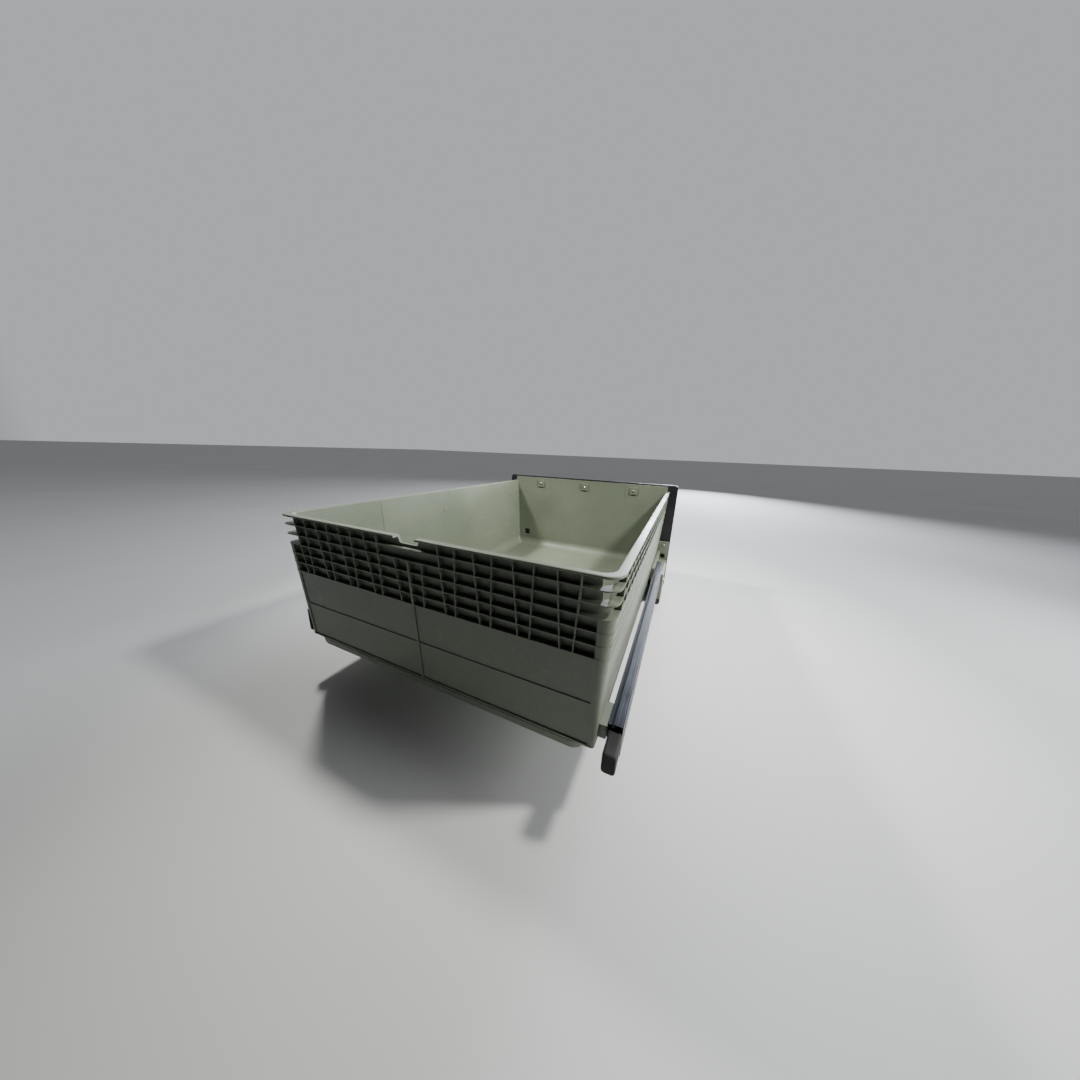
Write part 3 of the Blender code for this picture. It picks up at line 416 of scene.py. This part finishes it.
def ring(depth, side_inset, rear_inset, radius):
    """A level outline: straight front corners, rounded rear corners."""
    radius = max(radius, SMALLEST_RADIUS)
    x = HALF - side_inset
    y = REAR_Y - rear_inset
    z = RIM_Z - depth
    right = arc((x - radius, y - radius), radius, 0, 90, ARC_STEPS)
    left = arc((-x + radius, y - radius), radius, 90, 180, ARC_STEPS)
    return [(px, py, z) for px, py in [(x, FRONT_Y)] + right + left + [(-x, FRONT_Y)]]


def tip_ring(depth, more=0.0):
    inset = tip_inset(depth) + more
    return ring(depth, inset, inset, TIP_RADIUS - inset)


def wall_ring(depth):
    inset = wall_inset(depth)
    return ring(depth, inset, inset, WALL_RADIUS - inset / 2)


def panel_ring(depth):
    """Under the lattice the wall stands nearly flush with the rib tips."""
    side = tip_inset(depth) + SIDE_BACK
    return ring(depth, side, tip_inset(depth) + PANEL_RECESS, TIP_RADIUS - side)


def lattice_ring(depth):
    """In the lower rows the sides are flush with the rib tips and the rear is a row of pockets."""
    side = tip_inset(depth) + SIDE_BACK
    return ring(depth, side, wall_inset(depth), TIP_RADIUS - side)


def skirt_ring(depth, inset):
    """The skirt stands in under the sides, and hardly at all at the rear."""
    return ring(depth, inset + SKIRT_SIDE_INSET, inset + SKIRT_REAR_INSET, TIP_RADIUS)


def outer_rings():
    """The outside, from the bottom up."""
    rings = []
    for step in range(ARC_STEPS + 1):
        angle = math.pi / 2 * step / ARC_STEPS
        depth = BOTTOM - SKIRT_RADIUS * (1 - math.cos(angle))
        inset = tip_inset(BOTTOM) + SKIRT_RADIUS * (1 - math.sin(angle))
        rings.append(skirt_ring(depth, inset))
    below = LEDGE_DEPTH + LEDGE_THICKNESS
    rings.append(skirt_ring(below, tip_inset(below)))
    for step in range(1, ARC_STEPS + 1):
        angle = math.pi / 2 * step / ARC_STEPS
        depth = below - LEDGE_ROUNDING * (1 - math.cos(angle))
        rings.append(tip_ring(depth, LEDGE_ROUNDING * (1 - math.sin(angle))))
    rings.append(tip_ring(LEDGE_DEPTH, LEDGE_BACK))
    rings.append(panel_ring(LEDGE_DEPTH))
    rib_low = MIDDLE_RIB_DEPTH + MIDDLE_RIB_HALF
    rib_high = MIDDLE_RIB_DEPTH - MIDDLE_RIB_HALF
    rings.append(panel_ring(rib_low))
    rings.append(tip_ring(rib_low, MIDDLE_RIB_BACK))
    rings.append(tip_ring(rib_high, MIDDLE_RIB_BACK))
    rings.append(panel_ring(rib_high))
    rings.append(panel_ring(LATTICE_DEPTH + RIB / 2))
    for row in range(LATTICE_ROWS, 0, -1):
        level = LATTICE_DEPTH * row / LATTICE_ROWS
        low = level + RIB / 2
        high = level - RIB / 2
        beneath = lattice_ring if row >= SIDE_ROWS else wall_ring
        above = lattice_ring if row > SIDE_ROWS else wall_ring
        if row < LATTICE_ROWS:
            rings.append(beneath(low))
        rings.append(tip_ring(low))
        rings.append(tip_ring(high))
        rings.append(above(high))
    rings.append(wall_ring(RIM_THICKNESS))
    rings.append(ring(RIM_THICKNESS, RIM_UNDERCUT, RIM_UNDERCUT, TIP_RADIUS))
    rings.append(ring(RIM_THICKNESS - RIM_UNDERCUT_DEPTH, 0.0, 0.0, RIM_RADIUS))
    for step in range(RIM_STEPS + 1):
        angle = math.pi / 2 * step / RIM_STEPS
        inset = RIM_ROUNDING * (1 - math.cos(angle))
        depth = RIM_ROUNDING * (1 - math.sin(angle))
        rings.append(ring(depth, inset, inset, RIM_RADIUS - inset))
    return rings


def cavity():
    """The inside, from the floor up."""
    rings = []
    floor = BOTTOM - WALL
    for step in range(ARC_STEPS + 1):
        angle = math.pi / 2 * step / ARC_STEPS
        rings.append((floor - FLOOR_RADIUS * (1 - math.cos(angle)), FLOOR_RADIUS * (1 - math.sin(angle))))
    rings.append((MOUTH_ROUNDING, 0.0))
    rings.append((MOUTH_MIDDLE, -MOUTH_MIDDLE))
    rings.append((0.0, -MOUTH_ROUNDING))
    rings.append((-CUTTER_RISE, -MOUTH_ROUNDING))
    made = []
    for depth, more in rings:
        inset = wall_inset(max(depth, 0)) + WALL + more
        front = FRONT_Y + FRONT_WALL + max(depth, 0) * math.tan(FRONT_DRAFT) + max(more, 0)
        radius = CAVITY_RADIUS + depth * CAVITY_RADIUS_GROWTH
        made.append(rounded_ring(depth, inset, front, radius))
    return loft(made)


def rounded_ring(depth, inset, front, radius):
    """A level outline with all four corners rounded."""
    x = HALF - inset
    y = REAR_Y - inset
    z = RIM_Z - depth
    small = CAVITY_FRONT_RADIUS
    points = arc((x - radius, y - radius), radius, 0, 90, ARC_STEPS)
    points += arc((-x + radius, y - radius), radius, 90, 180, ARC_STEPS)
    points += arc((-x + small, front + small), small, 180, 270, FRONT_CORNER_STEPS)
    points += arc((x - small, front + small), small, 270, 360, FRONT_CORNER_STEPS)
    return [(px, py, z) for px, py in points]


def rear_rib(x_top, x_bottom, top, bottom, thickness, proud=0.0):
    """An upright rib on the rear wall, which may lean."""
    outline = []
    for depth, x in ((bottom, x_bottom), (top, x_top)):
        tip = REAR_Y - tip_inset(depth) - RIB_BACK + proud
        root = REAR_Y - wall_inset(depth) - WALL / 2
        half = thickness / 2
        z = RIM_Z - depth
        outline.append([(x - half, root, z), (x + half, root, z), (x + half, tip, z), (x - half, tip, z)])
    return loft(outline)


def side_rib(side, y, top, bottom, thickness):
    outline = []
    for depth in (bottom, top):
        tip = side * (HALF - tip_inset(depth) - RIB_BACK)
        root = side * (HALF - wall_inset(depth) - WALL / 2)
        half = thickness / 2
        z = RIM_Z - depth
        outline.append([(root, y - half, z), (root, y + half, z), (tip, y + half, z), (tip, y - half, z)])
    return loft(outline)


def rib_grid():
    """Upright ribs of the lattice: evenly spaced at the rim, and leaning together in pairs below."""
    top = RIM_THICKNESS - OVERLAP
    bottom = LATTICE_DEPTH
    ribs = []
    for side in (-1, 1):
        for k in range(1, RIBS_EACH_SIDE + 1):
            lean = LEAN_OUT if k % 2 == 0 else -LEAN_IN
            ribs.append(rear_rib(side * k * RIB_PITCH, side * (k * RIB_PITCH + lean), top, bottom, RIB))
        count = int((REAR_Y - FRONT_Y - WALL_RADIUS) / RIB_PITCH)
        for k in range(1, count + 1):
            ribs.append(side_rib(side, FRONT_Y + k * RIB_PITCH, top, SIDE_LATTICE_DEPTH, RIB))
    plate_bottom = 2 * LATTICE_DEPTH / LATTICE_ROWS
    ribs.append(rear_rib(0.0, 0.0, plate_bottom - RIB, LEDGE_DEPTH + OVERLAP, CENTRE_RIB))
    ribs.append(rear_rib(0.0, 0.0, OVERLAP, plate_bottom, 2 * PLATE_HALF, -PLATE_BACK))
    return ribs


def corner_column(side):
    """Rounded post at a rear corner, under the rows that run round it."""
    rings = []
    reach = COLUMN_REACH
    for depth in (SIDE_LATTICE_DEPTH, LEDGE_DEPTH + OVERLAP):
        inset = tip_inset(depth) + COLUMN_BACK
        radius = TIP_RADIUS - inset
        x = HALF - inset
        y = REAR_Y - inset
        z = RIM_Z - depth
        outside = [(x, y - radius - reach)] + arc((x - radius, y - radius), radius, 0, 90, ARC_STEPS)
        outside.append((x - radius - reach, y))
        back = RECESS + WALL / 2
        inside = [(x - radius - reach, y - back), (x - radius, y - back), (x - back, y - radius)]
        inside.append((x - back, y - radius - reach))
        rings.append([(side * px, py, z) for px, py in outside + inside])
    return loft(rings)


def slide_lug(side):
    """Block behind the rear corner that carries the rear end of the slide."""
    low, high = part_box("drawer_member_left" if side < 0 else "drawer_member_right")
    face = side * (abs(high.x if side < 0 else low.x) - LUG_GAP)
    screw_low, screw_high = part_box("slide_screw_rear_left" if side < 0 else "slide_screw_rear_right")
    middle = (screw_low + screw_high) / 2
    root = side * (HALF - wall_inset(RIM_Z - middle.z) - WALL / 2)
    x_low, x_high = sorted((face, root))
    return box((x_low, middle.y - LUG_HALF_LENGTH, middle.z - LUG_HALF_HEIGHT),
               (x_high, middle.y + LUG_HALF_LENGTH, middle.z + LUG_HALF_HEIGHT))


def make_tub():
    """The whole moulding, in place of the CAD's coarser one."""
    tub = add_object("tub_shell", loft(outer_rings()), OLIVE)
    combine(tub, merged(rib_grid()), "UNION")
    combine(tub, merged([corner_column(-1), corner_column(1), slide_lug(-1), slide_lug(1)]), "UNION")
    half = HALF - TIP_INSET - RECESS
    rise = box((-half, FRONT_Y, RIM_Z - RIM_THICKNESS), (half, FRONT_Y + FRONT_WALL, RIM_Z + FRONT_RISE))
    combine(tub, rise, "UNION")
    combine(tub, cavity(), "DIFFERENCE")
    combine(tub, merged(inner_marks()), "UNION")
    combine(tub, merged(tub_holes()), "DIFFERENCE")
    combine(tub, merged(washer_holes() + wall_grooves()), "DIFFERENCE")
    tub.data.shade_smooth()
    tub.data.set_sharp_from_angle(angle=math.radians(30))
    even = tub.modifiers.new("even", "WEIGHTED_NORMAL")
    even.keep_sharp = True
    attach(tub, "drawer")
    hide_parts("tub")


def hole_profile(radius):
    return ((-HOLE_REACH, radius), (HOLE_REACH, radius))


def tub_holes():
    """Cutters for the notch, the window in the front wall and the hole in the side at +X."""
    vent_x = HALF - VENT_FROM_SIDE
    vent_z = tub_low.z + VENT_RISE
    vent = box((vent_x - VENT_HALF, FRONT_Y - 0.01, vent_z - VENT_HALF),
               (vent_x + VENT_HALF, FRONT_Y + 0.02, vent_z + VENT_HALF))
    side_centre = (HALF - SIDE_HOLE_INSET, SIDE_HOLE_Y, RIM_Z - SIDE_HOLE_DEPTH)
    side_hole = turned(hole_profile(SIDE_HOLE_RADIUS), side_centre, (1, 0, 0), HOLE_SIDES)
    return [notch_cutter(), vent, side_hole]


def inner_marks():
    """A parting line and a small boss on the inside of the wall at +X."""
    seam = []
    for depth in SEAM_DEPTHS:
        x = HALF - wall_inset(depth) - WALL
        tip = x - SEAM_PROUD
        root = x + SEAM_ROOT
        z = RIM_Z - depth
        seam.append([(tip, SEAM_Y - SEAM_TIP_HALF, z), (tip, SEAM_Y + SEAM_TIP_HALF, z),
                     (root, SEAM_Y + SEAM_ROOT, z), (root, SEAM_Y - SEAM_ROOT, z)])
    x = HALF - wall_inset(BOSS_DEPTH) - WALL
    boss = turned(BOSS_PROFILE, (x, BOSS_Y, RIM_Z - BOSS_DEPTH), (-1, 0, 0))
    return [loft(seam), boss]


def wall_grooves():
    """Short grooves in the inner face of the front wall, near its top."""
    shapes = []
    face = FRONT_Y + FRONT_WALL
    for x in GROOVE_X:
        shapes.append(box((x - GROOVE_HALF, face - GROOVE_DEEP, RIM_Z + GROOVE_BOTTOM),
                          (x + GROOVE_HALF, face + 0.003, RIM_Z + GROOVE_TOP)))
    return shapes


def notch_cutter():
    """Cutter for the dip in the rear rim, with rounded lower corners."""
    top = NOTCH_TOP_WIDTH / 2
    half = NOTCH_BOTTOM_WIDTH / 2
    radius = NOTCH_CORNER
    low = RIM_Z - NOTCH_DEPTH
    outline = [(top, RIM_Z + 0.02), (-top, RIM_Z + 0.02), (-top, RIM_Z)]
    outline += arc((-half + radius, low + radius), radius, 180, 270, NOTCH_STEPS)
    outline += arc((half - radius, low + radius), radius, 270, 360, NOTCH_STEPS)
    outline.append((top, RIM_Z))
    return loft([[(x, y, z) for x, z in outline] for y in (REAR_Y - 0.05, REAR_Y + 0.01)])


def washer_holes():
    shapes = []
    for name in ("left", "middle", "right"):
        low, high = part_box(f"washer_screw_{name}")
        middle = (low + high) / 2
        centre = (middle.x, FRONT_Y, middle.z)
        shapes.append(turned(hole_profile(WASHER_HOLE_RADIUS), centre, (0, 1, 0), HOLE_SIDES))
    return shapes


# --- screws and springs -------------------------------------------------------------------------------------

HEAD_HEIGHT = 0.0021
HEAD_STEPS = 6
SCREW_SIDES = 28
SHANK_RADIUS = 0.0019
POINT_LENGTH = 0.0015
POINT_RADIUS = 0.0008
CROSS_DEPTH = 0.0013
CROSS_CLEAR = 0.001  # the cutter starts this far above the head
CROSS_REACH = 0.55  # half lengths and widths of the recess, as shares of the head's radius
CROSS_THIN = 0.13


def screw_axis(low, high):
    """The long way of a screw's box."""
    size = high - low
    return max(range(3), key=lambda axis: size[axis])


def make_screw(node, body, head_sign):
    """Pan-head screw with a cross recess. head_sign says which end of its box the head is at."""
    low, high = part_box(node)
    axis = screw_axis(low, high)
    centre = (low + high) / 2
    across = [k for k in range(3) if k != axis]
    radius = (high[across[0]] - low[across[0]]) / 2
    head_end = high[axis] if head_sign > 0 else low[axis]
    tip_end = low[axis] if head_sign > 0 else high[axis]
    start = centre.copy()
    start[axis] = head_end
    way = Vector((0, 0, 0))
    way[axis] = -head_sign
    length = abs(tip_end - head_end)
    angles = [math.pi / 2 * k / HEAD_STEPS for k in range(1, HEAD_STEPS + 1)]
    profile = [(HEAD_HEIGHT * (1 - math.cos(a)), radius * math.sin(a)) for a in angles]
    profile += [(HEAD_HEIGHT, SHANK_RADIUS), (length - POINT_LENGTH, SHANK_RADIUS), (length, POINT_RADIUS)]
    piece = add_object(f"{node}_detailed", turned(profile, start, way, SCREW_SIDES), ZINC)
    ends = sorted((start[axis] - CROSS_CLEAR * way[axis], start[axis] + CROSS_DEPTH * way[axis]))
    long = radius * CROSS_REACH
    thin = radius * CROSS_THIN
    for halves in ((long, thin), (thin, long)):
        low_corner = start.copy()
        high_corner = start.copy()
        for which, half in zip(across, halves):
            low_corner[which] -= half
            high_corner[which] += half
        low_corner[axis] = ends[0]
        high_corner[axis] = ends[1]
        combine(piece, box(low_corner, high_corner), "DIFFERENCE")
    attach(piece, body)
    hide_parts(node)


def make_screws():
    for name in ("left", "middle", "right"):
        make_screw(f"washer_screw_{name}", "drawer", 1)
    for side, sign in (("left", -1), ("right", 1)):
        for place in ("lower", "upper"):
            make_screw(f"bracket_screw_{place}_{side}", "drawer", 1)
        for place in ("front", "second", "rear"):
            make_screw(f"slide_screw_{place}_{side}", "drawer", sign)


# --- carried-over nodes -------------------------------------------------------------------------------------

EDGE_ROUNDING = {
    "front_panel": 0.0012,
    "front_bracket_left": 0.0009,
    "front_bracket_right": 0.0009,
    "bracket_foot_left": 0.0012,
    "bracket_foot_right": 0.0012,
    "square_washer_left": 0.0005,
    "square_washer_middle": 0.0005,
    "square_washer_right": 0.0005,
    "latch_case": 0.0006,
    "latch_lever": 0.0006,
    "cabinet_member_left": 0.0003,
    "cabinet_member_right": 0.0003,
    "middle_member_left": 0.0003,
    "middle_member_right": 0.0003,
    "drawer_member_left": 0.0003,
    "drawer_member_right": 0.0003,
}


def dress_nodes():
    """Gives each CAD node its finish, and rounds the edges of the larger ones."""
    slots = {row["node"]: row["material_slot"] for row in frame["record"]["subparts"]}
    for name, node in frame["nodes"].items():
        node.data.materials.clear()
        node.data.materials.append(LOOKS[slots[name]])
        if name in EDGE_ROUNDING:
            soften(node, EDGE_ROUNDING[name], weld=True)


# --- stage --------------------------------------------------------------------------------------------------

def make_floor():
    floor = add_object("floor", box((-FLOOR_REACH, -FLOOR_REACH, -0.02), (FLOOR_REACH, FLOOR_REACH, -0.0006)),
                       floor_material())


def area_light(name, location, target, size, power, colour=(1, 1, 1), spread=180):
    light = bpy.data.lights.new(name, "AREA")
    light.shape = "DISK"
    light.size = size
    light.energy = power
    light.color = colour
    light.spread = math.radians(spread)
    made = bpy.data.objects.new(name, light)
    bpy.context.scene.collection.objects.link(made)
    made.location = location
    made.rotation_euler = (Vector(target) - Vector(location)).to_track_quat("-Z", "Y").to_euler()


FLOOR_REACH = 30
FRONT_SKY = 0.5
REAR_SKY = 0.012


def make_lights():
    inside = (0, -0.2, 0.2)
    warm = (1.0, 0.99, 0.95)
    area_light("over_left", (0.80, 0.05, 1.33), inside, 0.16, 6.2, warm, 80)
    area_light("over_right", (-1.04, 0.05, 1.33), inside, 0.16, 7.8, warm, 80)
    area_light("window", (-0.5, -4.0, 1.2), (0, 0, 0.3), 1.7, 130, (0.86, 0.92, 1.0), 120)
    area_light("side_soft", (-2.0, -0.20, 0.8), (0, -0.05, 0.2), 1.2, 16, (0.97, 0.99, 1.0), 120)
    make_sky()


def make_sky():
    """Pale room, bright in front of the drawer and dim behind it."""
    world = bpy.data.worlds.new("studio")
    bpy.context.scene.world = world
    world.use_nodes = True
    tree = world.node_tree
    sky = tree.nodes["Background"]
    sky.inputs["Color"].default_value = (0.94, 0.96, 1.0, 1.0)
    place = tree.nodes.new("ShaderNodeTexCoord")
    apart = tree.nodes.new("ShaderNodeSeparateXYZ")
    tree.links.new(place.outputs["Generated"], apart.inputs["Vector"])
    light = remap(tree, apart.outputs["Y"], FRONT_SKY, REAR_SKY, -0.15, 0.02)
    tree.links.new(light, sky.inputs["Strength"])


CAMERA_PLACE = (-0.3182, 0.6885, 0.4388)
CAMERA_FORWARD = (0.39289, -0.87735, -0.27551)
CAMERA_UP = (0.14565, -0.23645, 0.96066)
CAMERA_LENS = 10.449


def make_camera():
    """The camera stands behind the tub, a little above its rim, and looks down towards the front panel."""
    data = bpy.data.cameras.new("camera")
    data.lens = CAMERA_LENS
    data.sensor_width = 36.0
    data.clip_start = 0.01
    camera = bpy.data.objects.new("camera", data)
    bpy.context.scene.collection.objects.link(camera)
    forward = Vector(CAMERA_FORWARD).normalized()
    right = forward.cross(Vector(CAMERA_UP)).normalized()
    up = right.cross(forward)
    turn = Matrix((right, up, -forward)).transposed()
    camera.matrix_world = Matrix.Translation(CAMERA_PLACE) @ turn.to_4x4()
    bpy.context.scene.camera = camera


make_camera()
make_tub()
make_screws()
dress_nodes()
make_floor()
make_lights()
